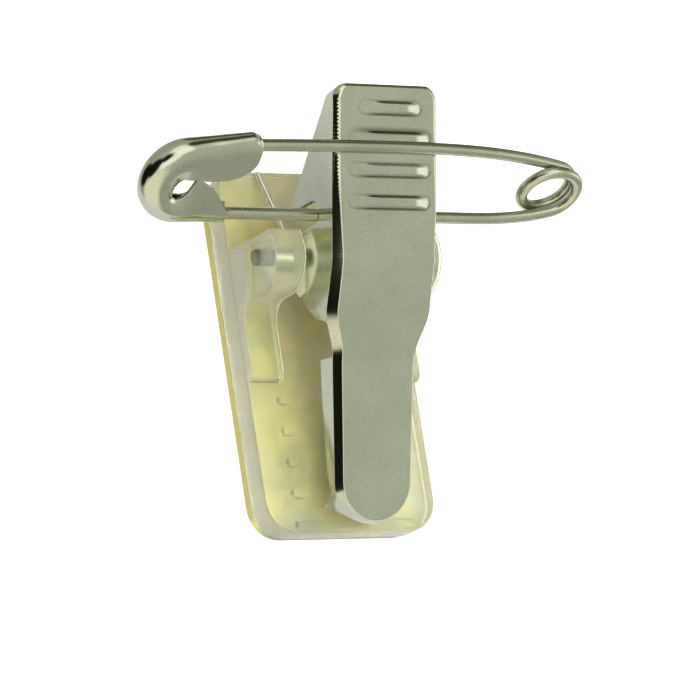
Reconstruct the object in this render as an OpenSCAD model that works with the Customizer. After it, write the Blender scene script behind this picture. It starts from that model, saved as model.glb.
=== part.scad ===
// Combination badge clip: a sprung clip and a safety pin on a self-adhesive plastic base.
// Millimetres. X runs along the pivot pin, Y towards the thumb end, Z up out of the base.
// The origin is the middle of the adhesive pad's back, which is the face that is stuck on.

/* [Base] */
// Width of the base
base_w = 12.6; // [12.4:0.1:13]
// Length of the base
base_l = 23.4; // [23.4:0.1:26]
// Thickness of the plastic plate
plate_t = 1.75; // [1.6:0.05:1.85]
// Corner radius of the plate at the thumb end
thumb_corner = 1.4; // [1:0.1:2.4]
// Corner radius of the plate at the tongue end
tongue_corner = 2.1; // [1:0.1:2.8]
// Rounding of the plate's upper edge
plate_edge = 0.22; // [0.2:0.05:0.5]
// Thickness of the foam adhesive pad
pad_t = 0.65; // [0.5:0.05:0.8]

/* [Ears] */
// Height of the pivot pin's axis above the back of the pad
pivot_h = 5.07; // [5:0.01:5.2]
// Distance of the pivot pin's axis from the thumb end of the base
pivot_in = 6.5; // [6.3:0.1:7]
// Distance between the inner faces of the two ears
ear_gap = 7.9; // [7.9:0.05:8.3]
// Radius of the ear's crown round the pivot pin
ear_r = 2.46; // [2.2:0.02:2.5]
// How far the ear reaches past the pivot pin towards the thumb end
ear_back = 1.2; // [1:0.1:1.6]
// Length of the low rail, measured from the pivot pin
rail_l = 7.3; // [6.5:0.1:8]
// Height of the low rail above the plate
rail_h = 0.65; // [0.4:0.05:0.8]
// Depth of the step in the ear's outer face
ledge = 0.12; // [0.05:0.01:0.2]

/* [Grip ribs] */
// Number of grip ribs across the plate
rib_count = 5; // [3:1:5]
// Distance of the first grip rib from the pivot pin
rib_start = 8.42; // [8.3:0.02:8.6]
// Distance from one grip rib to the next
rib_pitch = 2.0; // [1.6:0.05:2]
// Length of a grip rib
rib_l = 8.8; // [8:0.1:9.4]
// Width of a grip rib
rib_w = 0.6; // [0.4:0.05:0.7]
// Height of a grip rib
rib_h = 0.2; // [0.1:0.02:0.24]

/* [Pivot pin] */
// Diameter of the pivot pin
pivot_d = 1.06; // [0.9:0.02:1.1]
// Length of the pivot pin
pivot_l = 12.33; // [12.1:0.01:12.4]

/* [Lever] */
// Thickness of the sheet
sheet_t = 0.4; // [0.3:0.02:0.46]
// Slope of the thumb plate against the base
lever_tilt = 16.4; // [15:0.1:17]
// Width of the thumb plate
thumb_w = 7.54; // [7.3:0.02:7.6]
// Width of the tongue at its root
tongue_w = 5.58; // [5.2:0.02:5.8]
// Width of the tongue where its round end begins
tongue_end_w = 5.3; // [5:0.02:5.4]
// Distance of the thumb plate's end from the pivot pin
thumb_l = 10.68; // [10:0.02:11]
// Distance of the tongue's tip from the pivot pin
tongue_l = 16.25; // [15.8:0.01:16.4]
// Height of the thumb plate's face above the pivot pin
thumb_face = 5.32; // [5.2:0.01:5.4]
// Height of the tongue's face above the pivot pin
tongue_face = 4.44; // [4.3:0.01:4.5]
// Depth of the flange along the shoulder, with the sheet
flange_d = 0.6; // [0.5:0.05:0.9]
// Depth of the skirt at the root of the tongue
skirt_d = 2.2; // [1.8:0.05:2.3]
// Depth of the flange round the tip
tip_d = 1.0; // [0.8:0.05:1.1]
// Radius of the cheek round the pivot pin
cheek_r = 1.35; // [1.2:0.01:1.45]
// Number of raised bars on the thumb plate
bar_count = 4; // [1:1:4]
// Distance of the last raised bar from the pivot pin
bar_start = 3.43; // [3.3:0.01:3.5]
// Distance from one raised bar to the next
bar_pitch = 1.97; // [1.9:0.01:2]
// Length of a raised bar
bar_l = 5.9; // [5:0.1:6.1]
// Length of the raised bar nearest the thumb end
end_bar_l = 4.5; // [3.6:0.1:5]
// How far the raised bars lie to one side of the middle
bar_shift = 0.2; // [0:0.05:0.25]

/* [Safety pin] */
// Diameter of the safety pin's wire
wire_d = 0.78; // [0.7:0.01:0.8]
// Distance of the fixed leg from the pivot pin along the base
leg_y = 1.67; // [1.6:0.01:1.75]
// Height of the fixed leg above the pivot pin
leg_z = 3.59; // [3.5:0.01:3.65]
// Distance between the fixed leg and the sharp arm
leg_gap = 5.03; // [5:0.01:5.2]
// Gap between the sharp arm and the face of the thumb plate
arm_rest = 0.05; // [0.03:0.01:0.1]
// Distance of the spring coil's middle from the middle of the clip
coil_x = 13.03; // [12.8:0.01:13.6]
// Half length of the spring coil
coil_rx = 1.8; // [1.7:0.05:2]
// Half height of the spring coil
coil_rp = 1.65; // [1.5:0.05:1.7]
// Sideways advance of the spring coil in one turn
coil_pitch = 1.2; // [1.1:0.05:1.4]

/* [Cap] */
// Distance of the cap's round end from the middle of the clip
cap_reach = 16.86; // [16.6:0.01:17.2]
// Half thickness of the folded cap
cap_r = 0.68; // [0.66:0.01:0.75]
// Thickness of the cap's sheet
cap_t = 0.22; // [0.16:0.01:0.24]

/* [Torsion spring] */
// Diameter of the torsion spring's wire
spring_d = 0.36; // [0.28:0.02:0.4]
// Mean radius of the torsion spring's coils
spring_r = 0.95; // [0.9:0.01:1]
// Number of coils
spring_turns = 11; // [8:1:11]

/* [Hidden] */
$fn = 48;

pivot_y = base_l/2 - pivot_in;
plate_top = pad_t + plate_t;
drop = pivot_h - plate_top;
pad_inset = 0.05;
fit_gap = 0.02;
run_gap = 0.05;
wire_r = wire_d/2;

// Corner of the plate seen from above, with its upper edge rounded
module corner_post(r) {
    steps = 4;
    arc = [for (i = [0:steps]) let (a = 90*i/steps)
        [r - plate_edge*(1 - cos(a)), plate_t - plate_edge*(1 - sin(a))]];
    rotate_extrude($fn = 32)
        polygon(concat([[0, 0], [r, 0]], arc, [[0, plate_t]]));
}

module plate() {
    hull()
        for (side = [-1, 1]) {
            translate([side*(base_w/2 - thumb_corner), base_l/2 - thumb_corner, 0])
                corner_post(thumb_corner);
            translate([side*(base_w/2 - tongue_corner), tongue_corner - base_l/2, 0])
                corner_post(tongue_corner);
        }
}

// Side view of an ear and its rail: first axis towards the thumb end, second up, zero at the pivot
module ear_profile() {
    sink = 0.4;
    hollow_r = 1.3;
    rail_top = rail_h - drop;
    rail_nose = rail_h*0.9;
    intersection() {
        circle(r = ear_r);
        translate([-ear_r, 0])
            square([ear_r + ear_back, ear_r]);
    }
    translate([-ear_r, -drop - sink])
        square([ear_r + ear_back, drop + sink + 0.01]);
    difference() {
        translate([-ear_r - hollow_r, rail_top - 0.01])
            square([hollow_r + 0.01, hollow_r + 0.01]);
        translate([-ear_r - hollow_r, rail_top + hollow_r])
            circle(r = hollow_r);
    }
    translate([rail_nose - rail_l, -drop - sink])
        square([rail_l - ear_r - rail_nose + 0.01, rail_h + sink]);
    intersection() {
        translate([rail_nose - rail_l, -drop + rail_h - rail_nose])
            circle(r = rail_nose);
        translate([-rail_l, -drop - sink])
            square([rail_nose + 0.01, rail_h + sink]);
    }
}

// Region above the step in the ear's outer face, whose lower edge slopes down towards the rail
module ledge_profile() {
    back_z = -0.4;
    rail_z = -1.5;
    polygon([
        [ear_back + 1, back_z], [ear_back + 1, ear_r + 1], [-rail_l, ear_r + 1], [-rail_l, rail_z]]);
}

module ear() {
    outer = base_w/2;
    difference() {
        translate([ear_gap/2, 0, 0])
            rotate([90, 0, 90])
                linear_extrude(outer - ear_gap/2)
                    ear_profile();
        translate([outer - ledge, 0, 0])
            rotate([90, 0, 90])
                linear_extrude(1)
                    ledge_profile();
    }
}

module grip_rib() {
    sink = 0.2;
    bar = rib_l - rib_w;
    translate([-bar/2, -rib_w/2, -sink])
        cube([bar, rib_w, rib_h + sink]);
    for (side = [-1, 1])
        translate([side*bar/2, 0, -sink])
            cylinder(d = rib_w, h = rib_h + sink);
}

module base() {
    color("#dcdcae", 0.7)
        difference() {
            union() {
                translate([0, 0, pad_t])
                    plate();
                translate([0, pivot_y, pivot_h])
                    for (side = [0, 1])
                        mirror([side, 0, 0])
                            ear();
                for (i = [0:rib_count - 1])
                    translate([0, pivot_y - rib_start - i*rib_pitch, plate_top])
                        grip_rib();
            }
            translate([-base_w, pivot_y, pivot_h])
                rotate([0, 90, 0])
                    cylinder(d = pivot_d + 2*fit_gap, h = 2*base_w);
        }
}

module adhesive_pad() {
    color("#c8bc62")
        linear_extrude(pad_t - fit_gap)
            plate_outline(pad_inset);
}

// Outline of the plate seen from above, drawn in by an inset
module plate_outline(inset) {
    w = base_w/2;
    for (side = [-1, 1]) {
        translate([side*(w - thumb_corner), base_l/2 - thumb_corner])
            circle(r = thumb_corner - inset);
        translate([side*(w - tongue_corner), tongue_corner - base_l/2])
            circle(r = tongue_corner - inset);
    }
    translate([inset - w, tongue_corner - base_l/2])
        square([base_w - 2*inset, base_l - tongue_corner - thumb_corner]);
    translate([thumb_corner - w, 0])
        square([base_w - 2*thumb_corner, base_l/2 - inset]);
    translate([tongue_corner - w, inset - base_l/2])
        square([base_w - 2*tongue_corner, base_l/2 - inset]);
}

module pivot_pin() {
    color("#b9bdbb")
        translate([-pivot_l/2, pivot_y, pivot_h])
            rotate([0, 90, 0])
                cylinder(d = pivot_d, h = pivot_l);
}

// Puts a shape that is drawn from the pivot pin's axis in its place
module on_pivot() {
    translate([0, pivot_y, pivot_h])
        children();
}

// A side view drawn as (towards the thumb end, up), made into a solid across the clip
module across(width) {
    rotate([90, 0, 90])
        linear_extrude(width, center = true)
            children();
}

module along_lever(width) {
    rotate([lever_tilt, 0, 0])
        across(width)
            children();
}

// Places along the lever where its outline or its side view changes
shoulder_v = -3.55;
root_v = -6.35;
bend_v = -0.2;
cheek_v = -3.95;
end_v = -13.2;
tip_r = tongue_end_w/2;
tip_v = tip_r - tongue_l;

// Half width of the lever at a place along it
function half_width(v) =
    v > shoulder_v ? thumb_w/2 :
    v > root_v ? let (t = (shoulder_v - v)/(shoulder_v - root_v))
        tongue_w/2 + (thumb_w - tongue_w)/2*(1 + cos(180*t))/2 :
    tongue_w/2 - (tongue_w - tongue_end_w)/2*(root_v - v)/(root_v - tip_v);

// One side of the lever's outline, from the thumb end to the tip, drawn in by an inset
function side_points(inset) =
    let (r = 0.95 - inset, steps = 10, w = thumb_w/2 - inset)
    concat(
        [for (i = [0:5]) let (a = 90 - 18*i)
            [w - r + r*cos(a), thumb_l - inset - r + r*sin(a)]],
        [for (i = [0:steps]) let (v = shoulder_v + (root_v - shoulder_v)*i/steps)
            [half_width(v) - inset, v]],
        [for (i = [0:12]) let (a = -90*i/12, c = tip_r - inset)
            [c*cos(a), tip_v + c*sin(a)]]);

function lever_outline(inset) =
    let (right = side_points(inset), n = len(right))
    concat(right, [for (i = [n - 2:-1:0]) [-right[i][0], right[i][1]]]);

// Height of the lever's face above the pivot pin at a place along it
function face_w(v) =
    v > bend_v ? thumb_face :
    v > root_v ? thumb_face + (tongue_face - thumb_face)*(bend_v - v)/(bend_v - root_v) :
    tongue_face;

// Lower edge of the tongue's skirt, which rises towards the tip
skirt_v = -12.4;

function skirt_w(v) =
    v > skirt_v ? tongue_face - skirt_d + 0.1*(root_v - v) :
    tongue_face - skirt_d + 0.1*(root_v - skirt_v) + 0.32*(skirt_v - v);

// Height, above the pivot pin and square to the thumb plate, of a level that lies along the base
function level_w(z, v) = (z - v*sin(lever_tilt))/cos(lever_tilt);

// Where a line from p meets the cheek's round end, just inside it, on the side given by s
function touch(p, s) =
    let (r = 0.99*cheek_r, a = atan2(p[1], p[0]) + s*acos(r/norm(p)))
    [r*cos(a), r*sin(a)];

// Side view of the thumb plate, the cheeks and the tongue up to its round end
module lever_side() {
    back = [9.75, 4.0];
    front = [-3.65, 2.75];
    circle(r = cheek_r);
    polygon([
        [thumb_l + 1, thumb_face], [bend_v, thumb_face], [root_v, tongue_face],
        [end_v, tongue_face], [end_v, skirt_w(end_v)], [skirt_v, skirt_w(skirt_v)],
        [root_v + 0.15, tongue_face - skirt_d], [root_v + 0.15, tongue_face - flange_d],
        [cheek_v, face_w(cheek_v) - flange_d],
        front, touch(front, 1), [0, 0], touch(back, -1), back,
        [back[0] + 0.6, thumb_face - 0.55], [thumb_l + 1, thumb_face - 0.5]]);
}

// Side view of the tongue's round end, with a claw on each side that reaches down to the ribs
module tip_side() {
    claw_z = rib_h + 0.04 - drop;
    claw_v = tip_v - 1.76;
    far = -tongue_l - 2;
    polygon([
        [end_v, tongue_face], [far, tongue_face], [far, tongue_face - tip_d],
        [claw_v - 0.9, tongue_face - tip_d], [claw_v - 0.49, tongue_face - tip_d - 0.28],
        [claw_v, level_w(claw_z, claw_v)], [claw_v + 0.9, tongue_face - tip_d + 0.15],
        [end_v - 0.62, tongue_face - tip_d - 0.18], [end_v, skirt_w(end_v)]]);
}

// Side view of the space inside the lever
module hollow_side() {
    low = -6;
    far = -tongue_l - 2;
    polygon([
        [thumb_l + 1, thumb_face - sheet_t], [bend_v, thumb_face - sheet_t],
        [root_v, tongue_face - sheet_t], [far, tongue_face - sheet_t],
        [far, low], [thumb_l + 1, low]]);
}

// The lever's outline carried along its own height, and the tongue's end carried along the base's
module thumb_prism(inset) {
    rotate([lever_tilt, 0, 0])
        translate([0, 0, -6])
            linear_extrude(14)
                polygon(lever_outline(inset));
}

module tip_prism(inset) {
    translate([0, -tongue_face*sin(lever_tilt), -8])
        linear_extrude(16)
            scale([1, cos(lever_tilt)])
                polygon(lever_outline(inset));
}

module raised_bar(length) {
    bar_r = 0.5;
    rise = 0.18;
    half = length/2 - bar_r;
    intersection() {
        translate([0, 0, thumb_face + rise - bar_r])
            union() {
                translate([-half, 0, 0])
                    rotate([0, 90, 0])
                        cylinder(r = bar_r, h = 2*half);
                for (side = [-1, 1])
                    translate([side*half, 0, 0])
                        sphere(r = bar_r);
            }
        translate([-length, -1, thumb_face - sheet_t/2])
            cube([2*length, 2, 2]);
    }
}

// Open slot in the cheeks, with the fixed leg of the safety pin at its closed end
module leg_slot() {
    slot_r = 0.76;
    reach = 3.4;
    mouth = [slot_r + 1, -1.75];
    lean = [0.19, -0.26];
    translate([0, leg_y + lean[0], leg_z + lean[1]]) {
        rotate([0, 90, 0])
            cylinder(r = slot_r, h = 2*thumb_w, center = true);
        across(2*thumb_w)
            polygon([
                [-slot_r, 0], [slot_r, 0], [slot_r, mouth[1] - 0.45], mouth,
                [mouth[0], -reach], [-slot_r, -reach]]);
    }
}

module lever() {
    color("#a7a99b")
        on_pivot()
            difference() {
                union() {
                    difference() {
                        intersection() {
                            thumb_prism(0);
                            along_lever(2*thumb_w)
                                lever_side();
                        }
                        intersection() {
                            thumb_prism(sheet_t);
                            along_lever(3*thumb_w)
                                hollow_side();
                        }
                    }
                    difference() {
                        intersection() {
                            tip_prism(0);
                            along_lever(2*thumb_w)
                                tip_side();
                        }
                        intersection() {
                            tip_prism(sheet_t);
                            along_lever(3*thumb_w)
                                hollow_side();
                        }
                    }
                    rotate([lever_tilt, 0, 0])
                        for (i = [0:bar_count - 1])
                            translate([bar_shift, bar_start + i*bar_pitch, 0])
                                raised_bar(i == bar_count - 1 ? end_bar_l : bar_l);
                }
                rotate([0, 90, 0])
                    cylinder(d = pivot_d + 2*run_gap, h = 2*thumb_w, center = true);
                leg_slot();
            }
}

// Unit vector, and the solid swept by round sections along a list of points
function unit(v) = v/norm(v);

function flow(path, i) =
    unit(path[min(i + 1, len(path) - 1)] - path[max(i - 1, 0)]);

// Sections of a tube: across one direction that the path never follows, and square to it
function tube_rings(path, radii, side_count, level) = [
    for (i = [0:len(path) - 1])
        let (t = flow(path, i), a = unit(cross(t, level)), b = cross(t, a))
        for (k = [0:side_count - 1])
            let (angle = 360*k/side_count)
            path[i] + radii[i]*(cos(angle)*a + sin(angle)*b)];

function skin_faces(rings, n) = concat(
    [for (i = [0:rings - 2]) for (k = [0:n - 1])
        [i*n + k, (i + 1)*n + k, (i + 1)*n + (k + 1)%n]],
    [for (i = [0:rings - 2]) for (k = [0:n - 1])
        [i*n + k, (i + 1)*n + (k + 1)%n, i*n + (k + 1)%n]]);

module tube(path, radii, side_count, level) {
    polyhedron(
        points = tube_rings(path, radii, side_count, level),
        faces = concat(
            [[for (k = [0:side_count - 1]) k]],
            skin_faces(len(path), side_count),
            [[for (k = [side_count - 1:-1:0]) (len(path) - 1)*side_count + k]]));
}

// The safety pin is drawn in its own plane: along the clip's pivot, towards the arm, and forwards
arm_w = thumb_face + arm_rest + wire_r;
leg_w = leg_z*cos(lever_tilt) - leg_y*sin(lever_tilt);
pin_tilt = lever_tilt + asin((arm_w - leg_w)/leg_gap);

module in_pin_plane() {
    on_pivot()
        translate([0, leg_y, leg_z])
            rotate([pin_tilt, 0, 0])
                children();
}

// Ends of the parts of the wire
leg_in = -13.7;
leg_end = 6;
arm_in = -13.2;
arm_top = 1;
arm_lift = 4;
coil_p = 2.31;
coil_in = 79;
coil_turn = 514;
coil_lean = 0.28;

// The coil leans out of the pin's plane and advances as it turns
function coil_point(t) =
    let (a = coil_in - coil_turn*t, rise = coil_rp*sin(a))
    [coil_x + coil_rx*cos(a), coil_p + rise, coil_lean*rise + coil_pitch*coil_turn/360*(t - 0.5)];

// The arm bows down towards the coil and a little towards the cap
function arm_point(x) =
    let (reach = coil_point(0), t = (x - arm_lift)/(reach[0] - arm_lift))
    [x,
        x > arm_top ? leg_gap - (leg_gap - reach[1])*pow((x - arm_top)/(reach[0] - arm_top), 2) :
        leg_gap - 0.0016*pow(x - arm_top, 2),
        x > arm_lift ? reach[2]*t*t*(1.5 - 0.5*t) : 0];

arm_path = [for (i = [0:23]) arm_point(arm_in + (coil_point(0)[0] - arm_in)*i/24)];
coil_path = [for (i = [0:44]) coil_point(i/44)];
leg_path = [for (i = [7:-1:0])
    let (q = coil_point(1), t = i/8, x = leg_end - 0.4 + (q[0] - leg_end + 0.4)*t)
    [x, q[1]*t*t, q[2]*t*t]];
wire_path = concat(arm_path, coil_path, leg_path);

// The arm comes to a point inside the cap
wire_radii = [for (q = wire_path) let (run = q[1] > coil_p ? q[0] - arm_in : 9)
    (wire_r - 0.005)*min(1, 0.2 + run/3)];

module pin_wire() {
    color("#b4b5ab")
        in_pin_plane() {
            tube(wire_path, wire_radii, 12, [0, 0, 1]);
            translate([leg_in, 0, 0])
                rotate([0, 90, 0])
                    cylinder(r = wire_r, h = leg_end - leg_in);
        }
}

// Fold line of the cap: along the arm, round the end and back along the fixed leg
cap_mid = [cap_r + 2.28 - cap_reach, 2.26];
cap_round = [2.28, 2.2];
cap_turn = 98;

function cap_point(s) =
    s < 0 ? let (q = cap_point(0)) q - s*[4.55, 0.64] :
    s > 1 ? [cap_mid[0] + (s - 1)*3.85, cap_mid[1] - cap_round[1]] :
    let (a = cap_turn + (270 - cap_turn)*s)
    cap_mid + [cap_round[0]*cos(a), cap_round[1]*sin(a)];

// Columns: place along the fold line, depth of the wall in front and of the wall at the back
cap_table = [
    [-1.03, 0.5, 0.5], [-1.02, 1.0, 1.0], [-0.98, 1.4, 1.4], [-0.9, 1.76, 1.76],
    [-0.77, 2.06, 2.06], [-0.56, 2.2, 2.2], [-0.34, 2.12, 2.12], [-0.16, 1.95, 1.95],
    [0, 1.85, 1.85], [0.06, 1.82, 1.82], [0.12, 1.78, 1.78], [0.18, 1.73, 1.73],
    [0.24, 1.68, 1.68], [0.3, 1.64, 1.64], [0.36, 1.6, 1.6], [0.42, 1.57, 1.57],
    [0.48, 1.52, 1.52], [0.54, 1.45, 1.45], [0.6, 1.36, 1.36], [0.66, 1.25, 1.25],
    [0.72, 1.14, 1.14], [0.78, 1.08, 1.08], [0.84, 1.08, 1.08], [0.9, 1.15, 1.15],
    [0.94, 1.4, 1.4], [0.97, 1.75, 1.75], [1, 2.12, 2.12], [1.04, 2.44, 2.44],
    [1.12, 2.46, 2.46], [1.31, 2.2, 2.2], [1.48, 1.85, 1.7], [1.62, 1.45, 1.2],
    [1.75, 1.05, 0.95], [1.88, 0.65, 0.8], [2.02, 0.3, 0.62]];

// The mouth round the fixed leg is cut on the slant, longer at the back
function mouth_skew(s, n) = s > 1.3 ? -0.75*n*pow((s - 1.3)/0.72, 2) : 0;

function cap_ring(s, front, rear) =
    let (q = cap_point(s), d = unit(cap_point(s + 0.01) - cap_point(s - 0.01)),
        inward = [-d[1], d[0]], in_r = cap_r - cap_t, steps = 8,
        section = concat(
            [[front, cap_r]],
            [for (i = [0:steps]) [-cap_r*sin(180*i/steps), cap_r*cos(180*i/steps)]],
            [[rear, -cap_r], [rear, -in_r]],
            [for (i = [steps:-1:0]) [-in_r*sin(180*i/steps), in_r*cos(180*i/steps)]],
            [[front, in_r]]))
    [for (c = section) let (e = q + c[0]*inward + mouth_skew(s, c[1])*d) [e[0], e[1], c[1]]];

module pin_cap() {
    rings = [for (row = cap_table) each cap_ring(row[0], row[1], row[2])];
    count = len(cap_ring(0, 1, 1));
    half = count/2;
    last = (len(cap_table) - 1)*count;
    color("#b4b5ab")
        in_pin_plane()
            polyhedron(points = rings, faces = concat(
                [for (i = [0:half - 2]) [i, i + 1, count - 2 - i, count - 1 - i]],
                skin_faces(len(cap_table), count),
                [for (i = [0:half - 2])
                    [last + count - 1 - i, last + count - 2 - i, last + i + 1, last + i]]));
}

// The spring's first leg lies along the base, its coils go round the pivot pin,
// and its second leg presses the thumb plate from below
spring_in = [-3.4, 6.35, spring_d/2 + fit_gap - drop];
spring_left = -2.3;
coil_step = 0.42;
leg_turn = -118;
lift_turn = 156;
lift_l = 5.34;

module torsion_spring() {
    right = spring_left + coil_step*spring_turns;
    sweep = lift_turn - leg_turn - 360*(spring_turns + 1);
    steps = 12*spring_turns;
    coil = [for (i = [0:steps])
        let (a = leg_turn + sweep*i/steps)
        [spring_left + (right - spring_left)*i/steps, spring_r*cos(a), spring_r*sin(a)]];
    last = coil[steps] + lift_l*[0, sin(lift_turn), -cos(lift_turn)];
    path = concat([spring_in], coil, [last]);
    color("#c9cbc6")
        on_pivot()
            tube(path, [for (q = path) spring_d/2], 6, [1, 0, 0]);
}

base();
adhesive_pad();
pivot_pin();
torsion_spring();
lever();
pin_wire();
pin_cap();
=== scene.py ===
import math

import bmesh
import bpy
from mathutils import Matrix, Vector


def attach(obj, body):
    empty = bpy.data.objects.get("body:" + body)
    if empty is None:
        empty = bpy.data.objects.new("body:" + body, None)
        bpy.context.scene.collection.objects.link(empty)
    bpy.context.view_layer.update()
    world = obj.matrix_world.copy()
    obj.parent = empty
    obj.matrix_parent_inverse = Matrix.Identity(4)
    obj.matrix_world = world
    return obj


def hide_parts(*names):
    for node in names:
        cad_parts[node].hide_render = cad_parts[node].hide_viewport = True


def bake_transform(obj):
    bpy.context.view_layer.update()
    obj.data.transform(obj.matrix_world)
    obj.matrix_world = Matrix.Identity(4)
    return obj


# Combination badge clip: sprung lever and safety pin on a self-adhesive plastic base
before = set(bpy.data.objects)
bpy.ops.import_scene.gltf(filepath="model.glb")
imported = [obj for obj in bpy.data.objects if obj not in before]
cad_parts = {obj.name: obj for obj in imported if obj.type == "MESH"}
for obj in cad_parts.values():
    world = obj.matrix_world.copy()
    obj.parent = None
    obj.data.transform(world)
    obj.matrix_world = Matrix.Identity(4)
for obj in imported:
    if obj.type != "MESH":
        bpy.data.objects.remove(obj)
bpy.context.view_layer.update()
mm = 0.001


# Small tools for numbers and curves

def lerp(a, b, t):
    return a + (b - a)*t


def smoothStep(low, high, value):
    # 0 at low and 1 at high, also where high is the smaller of the two
    t = min(1.0, max(0.0, (value - low)/(high - low)))
    return t*t*(3 - 2*t)


def along(table, x, soft=False):
    # value at x in a short table of (place, value) rows that rise by place
    if x <= table[0][0]:
        return table[0][1]
    for (x0, y0), (x1, y1) in zip(table, table[1:]):
        if x <= x1:
            return lerp(y0, y1, smoothStep(x0, x1, x) if soft else (x - x0)/(x1 - x0))
    return table[-1][1]


def arcPoints(centre, radius, fromDeg, toDeg, steps):
    cx, cy = centre
    turns = [math.radians(lerp(fromDeg, toDeg, i/steps)) for i in range(steps + 1)]
    return [(cx + radius*math.cos(a), cy + radius*math.sin(a)) for a in turns]


def fullTurn(sides):
    return [2*math.pi*k/sides for k in range(sides)]


# Small tools for meshes: everything is drawn in millimetres and stored in metres

def newPiece(name, points, faces, sharpDeg=32.0):
    mesh = bpy.data.meshes.new(name)
    mesh.from_pydata([Vector(p)*mm for p in points], [], faces)
    mesh.validate()
    piece = bpy.data.objects.new(name, mesh)
    bpy.context.scene.collection.objects.link(piece)
    shadeByAngle(piece, sharpDeg)
    return piece


def shadeByAngle(piece, sharpDeg):
    piece.data.shade_smooth()
    piece.data.set_sharp_from_angle(angle=math.radians(sharpDeg))


def skinRings(rings):
    # quads between closed rings of equal length, given as lists of points
    count = len(rings[0])
    points = [p for ring in rings for p in ring]
    faces = []
    for r in range(len(rings) - 1):
        for k in range(count):
            n = (k + 1) % count
            a, b = r*count, (r + 1)*count
            faces.append((a + k, a + n, b + n, b + k))
    return points, faces


def closeEnds(rings, faces):
    # one flat face over the first ring and one over the last
    count = len(rings[0])
    last = (len(rings) - 1)*count
    faces.append(tuple(reversed(range(count))))
    faces.append(tuple(range(last, last + count)))


def weldPiece(piece):
    # joins points that fall together, drops empty faces and turns all faces outwards
    work = bmesh.new()
    work.from_mesh(piece.data)
    bmesh.ops.remove_doubles(work, verts=work.verts, dist=0.0005*mm)
    bmesh.ops.dissolve_degenerate(work, edges=work.edges, dist=0.0005*mm)
    bmesh.ops.recalc_face_normals(work, faces=work.faces)
    work.to_mesh(piece.data)
    work.free()


def applyModifiers(piece):
    # the mesh as its modifiers leave it becomes the piece's own
    graph = bpy.context.evaluated_depsgraph_get()
    mesh = bpy.data.meshes.new_from_object(piece.evaluated_get(graph))
    piece.modifiers.clear()
    piece.data = mesh


def combine(piece, other, operation):
    # boolean of two closed pieces, after which the second one is gone
    step = piece.modifiers.new(operation, "BOOLEAN")
    step.operation = operation
    step.solver = "EXACT"
    step.object = other
    applyModifiers(piece)
    bpy.data.objects.remove(other)


def barAlongX(name, outline, x0, x1, edgeRound=0.0, steps=4):
    # side view outline of (y, z) points carried along X, with its two end edges rounded
    turn = 1 if signedArea(outline) > 0 else -1
    stops = [math.radians(90*i/steps) for i in range(steps + 1)] if edgeRound else [math.pi/2]
    places = [(x0 + edgeRound*(1 - math.sin(a)), a) for a in stops]
    places += [(x1 - edgeRound*(1 - math.sin(a)), a) for a in reversed(stops)]
    rings = []
    for x, a in places:
        inset = edgeRound - edgeRound*(1 - math.cos(a))
        shape = insetOutline(outline, inset*turn) if inset else outline
        rings.append([(x, y, z) for y, z in shape])
    points, faces = skinRings(rings)
    closeEnds(rings, faces)
    return newPiece(name, points, faces)


def signedArea(outline):
    # above zero where the outline runs anticlockwise
    pairs = zip(outline, outline[1:] + outline[:1])
    return sum(a[0]*b[1] - b[0]*a[1] for a, b in pairs)/2


def insetOutline(outline, inset):
    # each point moves in along the mean of its two sides' normals
    moved = []
    count = len(outline)
    for i, p in enumerate(outline):
        before, after = Vector(outline[i - 1]), Vector(outline[(i + 1) % count])
        here = Vector(p)
        one, two = (here - before).normalized(), (after - here).normalized()
        mean = (one + two).normalized()
        inward = Vector((-mean.y, mean.x))
        stretch = 1/max(0.5, inward.dot(Vector((-one.y, one.x))))
        q = here + inward*inset*stretch
        moved.append((q.x, q.y))
    return moved


def sweptTube(name, path, radii, sides, level, sharpDeg=40.0):
    # round sections along a path; level is a direction that the path never follows
    rings = []
    for i, p in enumerate(path):
        ahead = path[min(i + 1, len(path) - 1)] - path[max(i - 1, 0)]
        t = ahead.normalized()
        a = t.cross(level).normalized()
        b = t.cross(a)
        rings.append([p + radii[i]*(math.cos(u)*a + math.sin(u)*b) for u in fullTurn(sides)])
    points, faces = skinRings(rings)
    closeEnds(rings, faces)
    return newPiece(name, points, faces, sharpDeg)


def finishPiece(piece, material, body, node):
    # material, the body that it moves with, and the plain solid that it stands for
    piece.data.materials.clear()
    piece.data.materials.append(material)
    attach(piece, body)
    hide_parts(node)


# Small tools for materials

def linearColor(hexText):
    def channel(pair):
        value = int(pair, 16)/255
        return value/12.92 if value <= 0.04045 else ((value + 0.055)/1.055)**2.4
    return tuple(channel(hexText[i:i + 2]) for i in (1, 3, 5)) + (1.0,)


def addNode(tree, kind, settings, links):
    # one node with its attributes, ramp stops or input values set, and its inputs linked
    node = tree.nodes.new(kind)
    for name, value in settings.items():
        if name == "stops":
            elements = node.color_ramp.elements
            while len(elements) < len(value):
                elements.new(0.5)
            for element, (place, color) in zip(elements, value):
                element.position = place
                element.color = linearColor(color)
        elif isinstance(name, str) and hasattr(node, name):
            setattr(node, name, value)
        else:
            node.inputs[name].default_value = value
    for name, source in links.items():
        tree.links.new(source, node.inputs[name])
    return node


def newMaterial(name):
    material = bpy.data.materials.new(name)
    material.use_nodes = True
    material.node_tree.nodes.clear()
    return material, material.node_tree


# Metal surfaces: tumbling marks, patches of tone and grain, and painted shade in the creases, with
# sizes in millimetres
metal = {
    "markSize": 0.09, "markStrength": 0.35, "cloudSize": 3.0, "cloudEdge": (0.35, 0.65),
    "grainSize": 0.12, "grainEdge": (0.3, 0.7), "smoothest": 0.88, "roughest": 1.14,
    # colour of the painted shade in the creases round the pressed bars
    "crease": "#262110",
}


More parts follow.
